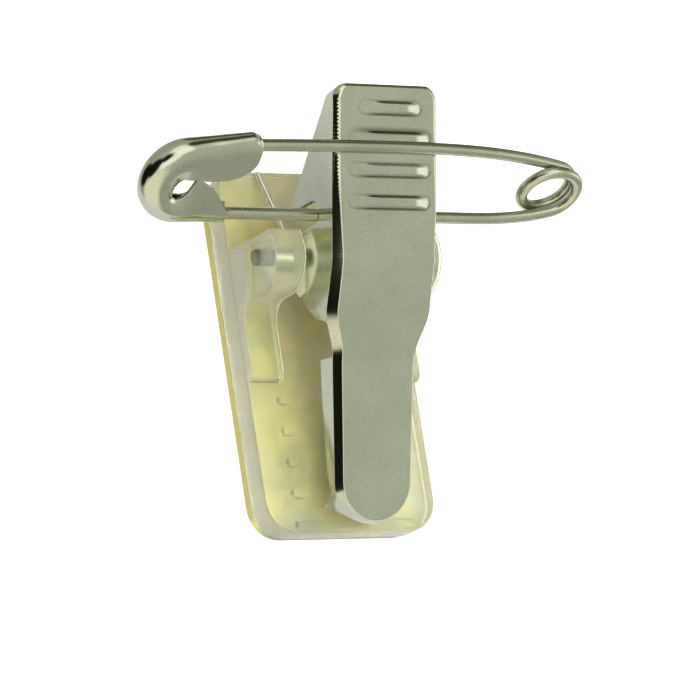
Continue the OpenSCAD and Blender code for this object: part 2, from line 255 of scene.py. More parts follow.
def metalSurface(name, rough, markDepth, grainDark, color, cloudy):
    material, tree = newMaterial(name)
    where = addNode(tree, "ShaderNodeTexCoord", {}, {})
    spot = where.outputs["Object"]
    cloud = addNode(tree, "ShaderNodeTexNoise",
                    {"Scale": 1/(metal["cloudSize"]*mm), "Detail": 3.0}, {"Vector": spot})
    marks = addNode(tree, "ShaderNodeTexNoise",
                    {"Scale": 1/(metal["markSize"]*mm), "Detail": 4.0}, {"Vector": spot})
    tone = addNode(tree, "ShaderNodeValToRGB",
                   {"stops": list(zip(metal["cloudEdge"], (cloudy, color)))},
                   {"Fac": cloud.outputs["Fac"]})
    # the grain is finer on the real sheet, and is drawn about two pixels wide to show
    grain = addNode(tree, "ShaderNodeTexNoise",
                    {"Scale": 1/(metal["grainSize"]*mm), "Detail": 1.0}, {"Vector": spot})
    speck = addNode(tree, "ShaderNodeMapRange",
                    {"From Min": metal["grainEdge"][0], "From Max": metal["grainEdge"][1],
                     "To Min": grainDark, "To Max": 1.0}, {"Value": grain.outputs["Fac"]})
    grained = addNode(tree, "ShaderNodeMix",
                      {"data_type": "RGBA", "blend_type": "MULTIPLY", 0: 1.0},
                      {6: tone.outputs["Color"], 7: speck.outputs["Result"]})
    # painted shade in the creases round pressed shapes, darkening the base colour by the share set
    # at each point of the lever
    crease = addNode(tree, "ShaderNodeAttribute", {"attribute_name": "crease"}, {})
    creaseShaded = addNode(tree, "ShaderNodeMix", {"data_type": "RGBA", "blend_type": "MULTIPLY",
                                              7: linearColor(metal["crease"])},
                      {0: crease.outputs["Fac"], 6: grained.outputs[2]})
    dull = addNode(tree, "ShaderNodeMapRange",
                   {"To Min": rough*metal["smoothest"], "To Max": rough*metal["roughest"]},
                   {"Value": marks.outputs["Fac"]})
    bump = addNode(tree, "ShaderNodeBump",
                   {"Strength": metal["markStrength"], "Distance": markDepth*mm},
                   {"Height": marks.outputs["Fac"]})
    shader = addNode(tree, "ShaderNodeBsdfPrincipled", {"Metallic": 1.0},
                     {"Base Color": creaseShaded.outputs[2], "Roughness": dull.outputs["Result"],
                      "Normal": bump.outputs["Normal"]})
    addNode(tree, "ShaderNodeOutputMaterial", {}, {"Surface": shader.outputs[0]})
    return material


# Clear styrene plastic, moulded and yellowed: milky depth under a glossy skin
clearPlastic = {
    "color": "#f4f1d2", "milky": "#e6e8d2", "rough": 0.23, "ior": 1.5, "clear": 0.86,
    "depth": 0.9, "coat": 0.15, "coatRough": 0.06, "patchSize": 3.2, "skinSize": 1.2,
}


def mouldedStyrene():
    material, tree = newMaterial("styrene_clear_moulded")
    where = addNode(tree, "ShaderNodeTexCoord", {}, {})
    spot = where.outputs["Object"]
    patches = addNode(tree, "ShaderNodeTexNoise",
                      {"Scale": 1/(clearPlastic["patchSize"]*mm), "Detail": 2.0},
                      {"Vector": spot})
    waves = addNode(tree, "ShaderNodeTexNoise",
                    {"Scale": 1/(clearPlastic["skinSize"]*mm), "Detail": 1.0},
                    {"Vector": spot})
    tone = addNode(tree, "ShaderNodeValToRGB",
                   {"stops": [(0.4, clearPlastic["milky"]), (0.6, clearPlastic["color"])]},
                   {"Fac": patches.outputs["Fac"]})
    bump = addNode(tree, "ShaderNodeBump", {"Strength": 0.25, "Distance": 0.02*mm},
                   {"Height": waves.outputs["Fac"]})
    shader = addNode(tree, "ShaderNodeBsdfPrincipled",
                     {"Roughness": clearPlastic["rough"], "IOR": clearPlastic["ior"],
                      "Transmission Weight": clearPlastic["clear"],
                      "Coat Weight": clearPlastic["coat"],
                      "Coat Roughness": clearPlastic["coatRough"],
                      "Subsurface Weight": 0.6, "Subsurface Scale": clearPlastic["depth"]*mm,
                      "Subsurface Radius": (1.0, 0.95, 0.7)},
                     {"Base Color": tone.outputs["Color"], "Normal": bump.outputs["Normal"]})
    addNode(tree, "ShaderNodeOutputMaterial", {}, {"Surface": shader.outputs[0]})
    return material


# Acrylic foam tape: mustard yellow, greenish where the adhesive has wetted out, darker and greener
# towards its tongue end
foam = {
    "dry": "#ebe496", "wet": "#c3c77c", "deep": "#ecd08a",
    "patchSize": 3.0, "cellSize": 0.16, "halfWidth": 5.5, "rough": 0.7,
    # where each change of tone starts and is full, and its colour
    "lifted": (4.7, 5.4, "#cfd0c4"), "cut": (5.95, 6.15, "#aca55e"),
    # darker and greener towards the tongue end of the pad
    "towardsTip": (-9.8, -11.4, "#808a6a"),
}


def foamTape():
    material, tree = newMaterial("acrylic_foam_tape")
    where = addNode(tree, "ShaderNodeTexCoord", {}, {})
    spot = where.outputs["Object"]
    split = addNode(tree, "ShaderNodeSeparateXYZ", {}, {"Vector": spot})
    patches = addNode(tree, "ShaderNodeTexNoise",
                      {"Scale": 1/(foam["patchSize"]*mm), "Detail": 4.0, "Distortion": 0.6},
                      {"Vector": spot})
    cells = addNode(tree, "ShaderNodeTexVoronoi",
                    {"Scale": 1/(foam["cellSize"]*mm)}, {"Vector": spot})
    # the plate presses hardest along the middle, so the tape is wetted out there
    side = addNode(tree, "ShaderNodeMath", {"operation": "ABSOLUTE"}, {0: split.outputs["X"]})
    pressed = addNode(tree, "ShaderNodeMapRange",
                      {"From Min": foam["halfWidth"]*mm, "From Max": 0.0,
                       "To Min": -0.16, "To Max": 0.1}, {"Value": side.outputs[0]})
    wetness = addNode(tree, "ShaderNodeMath", {"operation": "ADD"},
                      {0: patches.outputs["Fac"], 1: pressed.outputs["Result"]})
    tone = addNode(tree, "ShaderNodeValToRGB",
                   {"stops": [(0.36, foam["dry"]), (0.5, foam["wet"]), (0.62, foam["deep"])]},
                   {"Fac": wetness.outputs[0]})
    color = tone.outputs["Color"]
    zones = [("lifted", split.outputs["X"]), ("cut", side.outputs[0]), ("towardsTip", split.outputs["Y"])]
    for zone, place in zones:
        low, high, tint = foam[zone]
        share = addNode(tree, "ShaderNodeMapRange",
                        {"From Min": low*mm, "From Max": high*mm}, {"Value": place})
        mix = addNode(tree, "ShaderNodeMix", {"data_type": "RGBA", 7: linearColor(tint)},
                      {0: share.outputs["Result"], 6: color})
        color = mix.outputs[2]
    bump = addNode(tree, "ShaderNodeBump", {"Strength": 0.6, "Distance": 0.03*mm},
                   {"Height": cells.outputs["Distance"]})
    shader = addNode(tree, "ShaderNodeBsdfPrincipled", {"Roughness": foam["rough"]},
                     {"Base Color": color, "Normal": bump.outputs["Normal"]})
    addNode(tree, "ShaderNodeOutputMaterial", {}, {"Surface": shader.outputs[0]})
    return material


# Nickel plate on pressed steel: a satin mirror with fine tumbling marks and a greenish warm cast
sheetMetal = metalSurface("nickel_plated_pressed_sheet", rough=0.14, markDepth=0.0016,
                          grainDark=0.89, color="#cfd4bd", cloudy="#c6cbb3")
# Plated wire, drawn through a die: even along its length, with soft long reflections
wireMetal = metalSurface("nickel_plated_drawn_wire", rough=0.26, markDepth=0.0002,
                         grainDark=0.97, color="#c8cab3", cloudy="#bdbfa8")
# Unplated spring wire, drawn bright: nearly white where it catches the light
springMetal = metalSurface("spring_steel_drawn_bright", rough=0.28, markDepth=0.0002,
                           grainDark=0.97, color="#f8f6ea", cloudy="#f2f0e2")
# Plain drawn rod, cropped and a little dull: its ends read as grey dots
rodMetal = metalSurface("steel_rod_drawn_grey", rough=0.4, markDepth=0.0008,
                        grainDark=0.94, color="#a3a98c", cloudy="#7c826f")
plastic = mouldedStyrene()
tape = foamTape()
print("materials made")


# Base: plate, two ears that run out into low rails, and the grip ribs
base = {
    "width": 12.6, "length": 23.4, "plateTop": 2.4, "padTop": 0.65,
    "thumbCorner": 1.4, "tongueCorner": 2.1, "edge": 0.22, "lowEdge": 0.1,
    "earGap": 7.9, "earR": 2.46, "earBack": 1.2, "railLength": 7.3, "railHeight": 0.65,
    "ledge": 0.12, "ledgeBack": -0.4, "ledgeRail": -1.5, "hollow": 1.3, "earEdge": 0.16,
    "ribs": 5, "ribStart": 8.42, "ribPitch": 2.0, "ribLength": 8.8, "ribWidth": 0.72,
    "ribHeight": 0.24, "ribMiddle": 0.2, "ribEnd": 1.5, "noseShare": 0.9, "boreR": 0.52,
}
pivotY, pivotZ = 5.2, 5.07
drop = pivotZ - base["plateTop"]


def plateOutline(inset, steps=10):
    # seen from above, with tighter corners at the thumb end
    w, half = base["width"]/2, base["length"]/2
    big, small = base["tongueCorner"], base["thumbCorner"]
    corners = [
        ((w - small, half - small), small, 0), ((small - w, half - small), small, 90),
        ((big - w, big - half), big, 180), ((w - big, big - half), big, 270),
    ]
    outline = []
    for centre, radius, start in corners:
        outline += arcPoints(centre, radius - inset, start, start + 90, steps)
    return outline


def layered(name, levels):
    # outlines of (x, y) points at rising heights, closed at both ends
    rings = [[(x, y, z) for x, y in outline] for z, outline in levels]
    points, faces = skinRings(rings)
    closeEnds(rings, faces)
    return newPiece(name, points, faces)


def roundedLevels(outlineAt, low, high, lowEdge, highEdge, steps=5):
    # heights and outlines of a block whose lower and upper edges are rounded
    turns = [math.radians(90*i/steps) for i in range(steps + 1)]
    return [(low + lowEdge*(1 - math.cos(a)), outlineAt(lowEdge*(1 - math.sin(a))))
            for a in turns] + [
            (high - highEdge*(1 - math.sin(a)), outlineAt(highEdge*(1 - math.cos(a))))
            for a in turns]


def earOutline(sink=0.4):
    # side view of an ear and its rail: round top, hollow behind it, low rail with a blunt nose
    r, back = base["earR"], base["earBack"]
    hollow, nose = base["hollow"], base["railHeight"]*base["noseShare"]
    railTop = base["railHeight"] - drop
    noseY = nose - base["railLength"]
    crown = math.degrees(math.acos(back/r))
    shape = [(back, -drop - sink)]
    shape += arcPoints((0, 0), r, crown, 180, 40)
    shape += arcPoints((-r - hollow, railTop + hollow), hollow, 0, -90, 16)
    shape += arcPoints((noseY, railTop - nose), nose, 90, 180, 10)
    shape += [(-base["railLength"], -drop - sink)]
    return [(pivotY + y, pivotZ + z) for y, z in shape]


def belowLedge(outline):
    # the ear's outline cut off above the sloping step in its outer face
    y0, z0 = pivotY + base["earBack"], pivotZ + base["ledgeBack"]
    y1, z1 = pivotY - base["railLength"], pivotZ + base["ledgeRail"]
    return [(y, min(z, z0 + (z1 - z0)*(y - y0)/(y1 - y0))) for y, z in outline]


def drillPivot(piece, radius, reach):
    bore = barAlongX("bore", arcPoints((pivotY, pivotZ), radius, 0, 354, 59), -reach, reach)
    combine(piece, bore, "DIFFERENCE")


def buildRib(middleY):
    # a low bar, flat across, that stands up at its round ends and sinks towards its middle
    half, reach, top = base["ribLength"]/2, base["ribWidth"]/2, base["plateTop"]
    steps, across, sunk = 80, 16, 0.02
    rings = []
    for i in range(steps + 1):
        x = -half*math.cos(math.pi*i/steps)
        fromEnd = half - abs(x)
        wide = reach*math.sqrt(1 - (1 - min(1.0, max(0.02, fromEnd/reach)))**2)
        level = lerp(1.0, base["ribMiddle"], smoothStep(0.3, base["ribEnd"], fromEnd))
        rise = base["ribHeight"]*level*min(1.0, 0.1 + fromEnd/0.14)
        ring = [(x, middleY + wide, top - 0.2), (x, middleY - wide, top - 0.2)]
        for k in range(across + 1):
            u = 2*k/across - 1
            ring.append((x, middleY + wide*u, top - sunk + (rise + sunk)*(1 - u**4)))
        rings.append(ring)
    points, faces = skinRings(rings)
    closeEnds(rings, faces)
    piece = newPiece("rib", points, faces)
    weldPiece(piece)
    return piece


def buildBase():
    piece = layered("base_plate", roundedLevels(
        plateOutline, base["padTop"], base["plateTop"], base["lowEdge"], base["edge"]))
    inner, outer = base["earGap"]/2, base["width"]/2
    step = outer - base["ledge"]
    for side in (-1, 1):
        low, high = sorted((side*inner, side*step))
        ear = barAlongX("ear", earOutline(), low, high, base["earEdge"])
        combine(piece, ear, "UNION")
        low, high = sorted((side*(step - 0.5), side*outer))
        skin = barAlongX("ear_skin", belowLedge(earOutline(0.3)), low, high, 0.05)
        combine(piece, skin, "UNION")
    for i in range(base["ribs"]):
        combine(piece, buildRib(pivotY - base["ribStart"] - i*base["ribPitch"]), "UNION")
    drillPivot(piece, base["boreR"], base["width"])
    shadeByAngle(piece, 32.0)
    piece.name = "moulded_base"
    return piece


finishPiece(buildBase(), plastic, "base", "base")
print("base made")


# Adhesive pad: die-cut foam tape, a little smaller than the plate
pad = {"inset": 0.05, "shortEnd": 0.05, "gap": 0.02, "edge": 0.04}


def padOutline(inset):
    # the tape stops a little short of the tongue end
    half = base["length"]/2
    shrink = 1 - pad["shortEnd"]/base["length"]
    return [(x, half - (half - y)*shrink) for x, y in plateOutline(inset + pad["inset"], 16)]


padPiece = layered("foam_pad", roundedLevels(
    padOutline, 0.0, base["padTop"] - pad["gap"], pad["edge"], pad["edge"]))
finishPiece(padPiece, tape, "base", "adhesive_pad")
print("pad made")


# Pivot pin: headless, with chamfered ends
pivot = {"diameter": 1.06, "length": 12.33, "chamfer": 0.12, "innerR": 0.12, "sides": 48}


def buildPivot():
    r, half, c = pivot["diameter"]/2, pivot["length"]/2, pivot["chamfer"]
    profile = [(-half, pivot["innerR"]), (-half, r - c), (-half + c*0.4, r - c*0.3), (-half + c, r)]
    profile += [(-x, radius) for x, radius in reversed(profile)]
    rings = [[(x, pivotY + radius*math.cos(a), pivotZ + radius*math.sin(a))
              for a in fullTurn(pivot["sides"])] for x, radius in profile]
    points, faces = skinRings(rings)
    closeEnds(rings, faces)
    return newPiece("pivot_rod", points, faces)


finishPiece(buildPivot(), rodMetal, "base", "pivot_pin")
print("pivot pin made")


# Lever: one formed sheet, drawn across (x), along (v) and square to (w) its thumb plate
lever = {
    "tilt": 16.4, "sheet": 0.4, "thumbWidth": 7.56, "tongueWidth": 5.58, "tongueEnd": 5.3,
    "thumbLength": 10.68, "tongueLength": 16.33, "thumbFace": 5.32, "tongueFace": 4.44,
    "shoulderV": -3.0, "rootV": -6.35, "bendV": -0.2, "cornerR": 0.95, "play": 0.1,
    "cheekR": 1.35, "waist": 0.18,
    # middle and length of each grip bar, and the width of the painted shade line along its upper
    # edge; the widest one is painted shade of the safety pin's arm, which lies in front of that bar
    "bars": [(3.43, 6.05, 0.11), (5.4, 6.05, 0.11), (7.37, 6.05, 0.3), (9.23, 4.7, 0.11)],
    "barShift": 0.2, "barR": 0.47, "barFlat": 0.2, "barRise": 0.13,
    # how far each bar runs out at its left and right end, where the painted shade line lies off the
    # bar's middle, and its usual width
    "barLeft": 2.4, "barRight": 1.3, "creaseShadeAt": 0.43, "creaseShadeWidth": 0.11,
    "columns": 112, "fineV": -3.4, "boreR": 0.58, "slotR": 0.76, "slotAt": (1.86, 3.33),
    "slotFoot": 3.4, "slotToe": 2.2, "slotHeel": 1.75, "tipLean": 0.42,
}
tilt = math.radians(lever["tilt"])
tipR = lever["tongueEnd"]/2
tipV = tipR - lever["tongueLength"]


def onLever(x, v, w):
    # the lever sits a little to the right of the middle, by its play on the pivot pin
    return (x + lever["play"], pivotY + v*math.cos(tilt) - w*math.sin(tilt),
            pivotZ + v*math.sin(tilt) + w*math.cos(tilt))


def leverHalfWidth(v):
    # wide thumb plate with a slight waist, a rounded shoulder, and a tongue that narrows a little
    wide, narrow = lever["thumbWidth"]/2, lever["tongueWidth"]/2
    wide -= lever["waist"]*(1 - smoothStep(lever["shoulderV"], 5.0, v))
    if v > lever["shoulderV"]:
        return wide
    if v > lever["rootV"]:
        t = (lever["shoulderV"] - v)/(lever["shoulderV"] - lever["rootV"])
        return narrow + (wide - narrow)*(1 + math.cos(math.pi*t))/2
    return lerp(narrow, tipR, (lever["rootV"] - v)/(lever["rootV"] - tipV))


def faceHeight(v):
    # the face steps down from the thumb plate to the tongue, with soft bends at both ends
    soft = 0.5
    high, low = lever["thumbFace"], lever["tongueFace"]
    start, end = lever["bendV"], lever["rootV"]
    slope = (high - low)/(start - end)

    def ramp(d):
        if d <= -soft:
            return 0.0
        if d >= soft:
            return d
        return (d + soft)**2/(4*soft)
    return high - slope*(ramp(start - v) - ramp(end - v))


def nearestBar(x, v):
    # at this point of the face: place along the bar, its half length, how far off its middle line,
    # and the width of the painted shade line beside it
    for middle, length, above in lever["bars"]:
        if abs(v - middle) < 0.85:
            place = x - lever["barShift"]
            beyond = max(0.0, abs(place) + lever["barR"] - length/2)
            dull = above if v > middle else lever["creaseShadeWidth"]
            return place, length/2, math.hypot(beyond, v - middle), dull
    return None


def barHeight(x, v):
    # raised grip bars with round ends, running out gently towards the right
    bar = nearestBar(x, v)
    if not bar:
        return 0.0
    place, half, d, dull = bar
    runOut = (smoothStep(-half, lever["barLeft"] - half, place)
              * (1 - smoothStep(half - lever["barRight"], half, place)))
    return lever["barRise"]*runOut*(1 - smoothStep(lever["barFlat"], lever["barR"], d))


def paintCreaseShade(piece):
    # how much painted shade each point of the face gets, in the creases along the bars: fullest
    # below each bar, fainter above it, and fading towards the bar's ends
    shade = piece.data.attributes.new("crease", "FLOAT", "POINT")
    for i, vertex in enumerate(piece.data.vertices):
        x, y, z = vertex.co/mm - Vector((lever["play"], pivotY, pivotZ))
        v, w = y*math.cos(tilt) + z*math.sin(tilt), z*math.cos(tilt) - y*math.sin(tilt)
        bar = nearestBar(x, v)
        if bar and w > faceHeight(v) - 0.02:
            place, half, d, dull = bar
            away = abs(d - lever["creaseShadeAt"])/dull
            lower = v < min(lever["bars"], key=lambda row: abs(v - row[0]))[0]
            share = 1.0 if lower else 0.65 if dull > lever["creaseShadeWidth"] else 0.4
            share *= lerp(0.2, 1.0, smoothStep(-half, 1.6 - half, place))
            share *= lerp(0.55, 1.0, smoothStep(half, half - 1.4, place))
            shade.data[i].value = share*max(0.0, 1 - away)


# Lower edge of the sheet's side walls: place along the outline, depth below the face
cheekFront = (-3.65, 2.75)
cheekBack = (9.75, 4.0)


def touchPoint(p, side):
    # where a straight edge from p meets the round lower end of the cheek
    a = math.atan2(p[1], p[0]) + side*math.acos(lever["cheekR"]/math.hypot(*p))
    return (lever["cheekR"]*math.cos(a), lever["cheekR"]*math.sin(a))


def cheekLow(v):
    # height of the cheek's lower edge above the pivot
    front, back = touchPoint(cheekFront, 1), touchPoint(cheekBack, -1)
    if v < front[0]:
        return lerp(cheekFront[1], front[1], (v - cheekFront[0])/(front[0] - cheekFront[0]))
    if v > back[0]:
        return lerp(back[1], cheekBack[1], (v - back[0])/(cheekBack[0] - back[0]))
    return -math.sqrt(max(0.0, lever["cheekR"]**2 - v*v))


# Depth of the tongue's side walls by place along, deepest at the claw near its tip
tipDepth = [(-16.33, 0.8), (-16.0, 0.84), (-15.47, 1.2), (-14.66, 2.42), (-14.25, 0.86),
            (-13.5, 1.1), (-12.5, 1.3), (-7.9, 1.6), (-6.22, 1.68), (-6.21, 0.62),
            (-3.96, 0.62), (-3.66, 2.5)]


def wallDepth(v):
    # depth of the side walls below the face, from the tip to the thumb end
    if v < cheekFront[0]:
        return along(tipDepth, v)
    if v < cheekBack[0]:
        return faceHeight(v) - cheekLow(v)
    return lerp(lever["thumbFace"] - cheekBack[1], 0.5, smoothStep(cheekBack[0], 10.5, v))


# How the sheet bends down: place along, then how far in it starts, and its shape
bendTable = {
    "inset": [(-6.4, 0.2), (-3.7, 0.38), (0.0, 0.57), (3.0, 0.46), (5.5, 0.44), (10.2, 0.44),
              (10.65, 0.28)],
    "radius": [(-14.9, 0.07), (-6.4, 0.09), (-3.7, 0.1), (0.0, 0.12), (3.0, 0.16), (5.5, 0.38),
               (10.2, 0.44), (10.65, 0.28)],
    "turn": [(-15.0, 60.0), (-14.3, 56.0), (-3.7, 55.0), (0.0, 43.0), (3.0, 46.0), (5.5, 50.0)],
    "flat": [(-15.2, 0.16), (-14.4, 0.54), (-6.4, 0.58), (-3.7, 0.7), (0.0, 0.6), (3.0, 0.42),
             (5.5, 0.1), (9.0, 0.0)],
    "lean": [(-13.6, 86.0), (-6.4, 80.0), (-5.0, 90.0)],
}

# The right side was pressed over a sharper edge
rightBend = {
    "inset": [(-6.4, 0.22), (-3.7, 0.12), (0.0, 0.12), (3.0, 0.16), (5.5, 0.3), (10.2, 0.4)],
    "radius": [(-6.4, 0.09), (-3.7, 0.1), (0.0, 0.12), (3.0, 0.16), (5.5, 0.3), (10.2, 0.4)],
    "flat": [(0.0, 0.0)],
}


def bendValue(key, v, side):
    value = along(bendTable[key], v)
    if side > 0 and key in rightBend:
        share = smoothStep(-15.2, -13.4, v)*(1 - smoothStep(10.0, 10.6, v))
        value = lerp(value, along(rightBend[key], v), share)
    return value


# Fine ripples that the press left across the thumb plate's bends: wavelength, share, shift
ripples = {"depth": 0.025, "waves": [(0.23, 1.0, 0.0), (0.147, 0.7, 1.3)]}


def stretchMarks(v):
    fade = smoothStep(-3.2, -2.4, v)*(1 - smoothStep(9.3, 9.8, v))
    fade *= lerp(0.5, 1.0, smoothStep(1, 4, v))
    waves = [share*math.sin(2*math.pi*v/size + shift) for size, share, shift in ripples["waves"]]
    return ripples["depth"]*fade*sum(waves)


def bendSection(v, depth, side):
    # outward and downward steps of the outer skin, then of the inner skin, from the face's edge
    radius, turn, flat, lean = (bendValue(k, v, side) for k in ("radius", "turn", "flat", "lean"))
    ripple = stretchMarks(v)
    outer = [(0.0, 0.0)]
    place = [0.0, 0.0]

    def arc(fromDeg, toDeg, steps):
        x0, y0 = place
        for i in range(1, steps + 1):
            a = math.radians(lerp(fromDeg, toDeg, i/steps))
            s = math.radians(fromDeg)
            swell = radius*ripple*math.sin(math.pi*i/steps)
            outer.append((x0 + radius*(math.sin(a) - math.sin(s)) + swell*math.sin(a),
                          y0 + radius*(math.cos(s) - math.cos(a)) - swell*math.cos(a)))
        place[:] = outer[-1]
    arc(0.0, turn, 6)
    run = math.radians(turn)
    place[:] = (place[0] + flat*math.cos(run), place[1] + flat*math.sin(run))
    outer.append(tuple(place))
    arc(turn, lean, 6)
    fall = math.radians(lean)
    left = max(0.05, depth - place[1])
    foot = (place[0] + left/math.tan(fall) if lean < 89.9 else place[0], place[1] + left)
    sheet = lever["sheet"]
    edge = 0.06
    slide = (math.cos(fall), math.sin(fall))
    outer.append((lerp(place[0], foot[0], 0.5), lerp(place[1], foot[1], 0.5)))
    outer.append((foot[0] - edge*slide[0], foot[1] - edge*slide[1]))
    normal = (-math.sin(fall), math.cos(fall))
    under = [(foot[0] + edge*normal[0], foot[1] + edge*0.2),
             (foot[0] + (sheet - edge)*normal[0], foot[1] + edge*0.2)]
    shallow = min(max(place[1], sheet) + 0.02, foot[1] - 0.03)
    inner = [(foot[0] - sheet, foot[1] - edge), (place[0] - sheet, shallow),
             (min(0.0, place[0] - sheet) - 0.03, sheet)]
    return outer + under + inner


def leverOutline():
    # right half of the face's outer edge, from the thumb end's corner to the tip
    w, r = lever["thumbWidth"]/2, lever["cornerR"]
    rows = arcPoints((w - r, lever["thumbLength"] - r), r, 90, 0, 12)
    v = lever["thumbLength"] - r
    fine, coarse = 0.06, 0.16
    while v > tipV + coarse:
        v -= fine if v > lever["fineV"] else coarse
        rows.append((leverHalfWidth(v), v))
    rows += arcPoints((0.0, tipV), tipR, 0, -90, 56)
    return rows


def outwardNormals(rows):
    normals = []
    for i in range(len(rows)):
        x0, v0 = rows[max(0, i - 1)]
        x1, v1 = rows[min(len(rows) - 1, i + 1)]
        flow = Vector((x1 - x0, v1 - v0)).normalized()
        normals.append((-flow.y, flow.x))
    normals[0] = (0.0, 1.0)
    normals[-1] = (0.0, -1.0)
    return normals


def buildLever():
    rows = leverOutline()
    normals = outwardNormals(rows)
    count, columns = len(rows), lever["columns"]
    points, faces = [], []
    sections = {side: [bendSection(v, wallDepth(v), side) for x, v in rows] for side in (-1, 0, 1)}
    insets = {side: [bendValue("inset", v, side) for x, v in rows] for side in (-1, 0, 1)}
    # the tongue's side walls hang straight down, and its tip leans out a little
    slant = [smoothStep(-6.4, -8.0, v)*math.tan(tilt)
             * (1 - lever["tipLean"]*smoothStep(0.3, 0.95, -n[1]))
             for (x, v), n in zip(rows, normals)]

    def addGrid(offsets, lower):
        # face between the two sides, where offsets say how far out the boundary lies on each row
        start = len(points)
        for i, (x, v) in enumerate(rows):
            ends = []
            for side in (1, -1):
                out = offsets[side][i] - insets[side][i]
                ends.append((side*max(0.0, x + normals[i][0]*out), v + normals[i][1]*out))
            for j in range(columns + 1):
                px = lerp(ends[0][0], ends[1][0], j/columns)
                pv = lerp(ends[0][1], ends[1][1], j/columns)
                points.append(onLever(px, pv, faceHeight(pv) + barHeight(px, pv) - lower))
        for i in range(count - 1):
            for j in range(columns):
                a = start + i*(columns + 1) + j
                b = a + columns + 1
                quad = (a, a + 1, b + 1, b)
                faces.append(quad if not lower else tuple(reversed(quad)))
        return start

    top = addGrid({side: [0.0]*count for side in (-1, 1)}, 0.0)
    below = addGrid({side: [s[-1][0] for s in sections[side]] for side in (-1, 1)}, lever["sheet"])

    # boundary from the right side down to the tip, up the left side, and along the thumb end
    loop = [(i, 1, top + i*(columns + 1), below + i*(columns + 1)) for i in range(count)]
    loop += [(i, -1, top + i*(columns + 1) + columns, below + i*(columns + 1) + columns)
             for i in range(count - 2, -1, -1)]
    loop += [(0, 0, top + j, below + j) for j in range(columns - 1, 0, -1)]
    rings = []
    for i, side, upper, lower in loop:
        section = sections[side][i]
        nx, nv = normals[i]
        x, v = rows[i]
        fx, fv = x - nx*insets[side][i], v - nv*insets[side][i]
        if side == 0:
            fx = points[upper][0]
        sign = -1 if side < 0 else 1
        ring = [upper]
        for out, down in section[1:-1]:
            px = sign*(fx + nx*out) if side else fx
            pv = fv + nv*out - slant[i]*down
            ring.append(len(points))
            points.append(onLever(px, pv, faceHeight(fv) - down))
        ring.append(lower)
        rings.append(ring)
    size = len(rings)
    for k in range(size):
        one, two = rings[k], rings[(k + 1) % size]
        for m in range(len(one) - 1):
            faces.append((one[m], two[m], two[m + 1], one[m + 1]))
    piece = newPiece("pressed_lever", points, faces, 40.0)
    weldPiece(piece)
    cutLever(piece)
    shadeByAngle(piece, 40.0)
    paintCreaseShade(piece)
    return piece


def cutLever(piece):
    # the pivot's bore, and the slot that the safety pin's leg snaps into, through both cheeks
    wide = lever["thumbWidth"]
    drillPivot(piece, lever["boreR"], wide)
    sy, sz = pivotY + lever["slotAt"][0], pivotZ + lever["slotAt"][1]
    r = lever["slotR"]
    outline = arcPoints((sy, sz), r, 0, 180, 24)
    foot, toe, heel = lever["slotFoot"], lever["slotToe"], lever["slotHeel"]
    outline += [(sy - r, sz - foot), (sy + r + 1, sz - foot), (sy + r + 1, sz - heel),
                (sy + r, sz - toe)]
    slot = barAlongX("slot", outline, -wide, wide)
    combine(piece, slot, "DIFFERENCE")


finishPiece(buildLever(), sheetMetal, "lever", "lever")
print("lever made")


# Safety pin, drawn in its own plane: along the pivot, towards the arm, and forwards
pin = {
    "wire": 0.78, "legY": 1.67, "legZ": 3.59, "gap": 5.03, "rest": 0.05,
    "legIn": -13.7, "armIn": -13.2, "armTop": 1.0, "armBow": 0.0016, "legEnd": 5.6,
    "point": 3.0, "pointShare": 0.2, "slack": 0.003,
    "coilX": 13.03, "coilRx": 1.8, "coilRp": 1.65, "coilPitch": 0.84, "coilP": 2.31,
    "coilIn": 79.0, "coilTurn": 514.0, "coilLean": 0.28, "capReach": 16.86,
    "capR": 0.68, "capSheet": 0.22,
}
wireR = pin["wire"]/2
armW = lever["thumbFace"] + pin["rest"] + wireR
legW = pin["legZ"]*math.cos(tilt) - pin["legY"]*math.sin(tilt)
pinTilt = tilt + math.asin((armW - legW)/pin["gap"])


def inPinPlane(x, p, n):
    return Vector((x, pivotY + pin["legY"] + p*math.cos(pinTilt) - n*math.sin(pinTilt),
                   pivotZ + pin["legZ"] + p*math.sin(pinTilt) + n*math.cos(pinTilt)))


def coilPoint(t):
    a = math.radians(pin["coilIn"] - pin["coilTurn"]*t)
    rise = pin["coilRp"]*math.sin(a)
    advance = pin["coilPitch"]*pin["coilTurn"]/360*(t - 0.5)
    return (pin["coilX"] + pin["coilRx"]*math.cos(a), pin["coilP"] + rise,
            pin["coilLean"]*rise + advance)


def armPoint(x):
    # the sharp arm bows slightly away from the fixed leg
    return Vector((x, pin["gap"] - pin["armBow"]*(x - pin["armTop"])**2, 0.0))


def smoothJoin(start, startFlow, end, endFlow, steps):
    # points from one place to another, leaving and arriving along the given directions
    reach = (end - start).length
    one, two = startFlow.normalized()*reach, endFlow.normalized()*reach
    points = []
    for i in range(steps):
        t = i/steps
        points.append((2*t**3 - 3*t*t + 1)*start + (t**3 - 2*t*t + t)*one
                      + (3*t*t - 2*t**3)*end + (t**3 - t*t)*two)
    return points


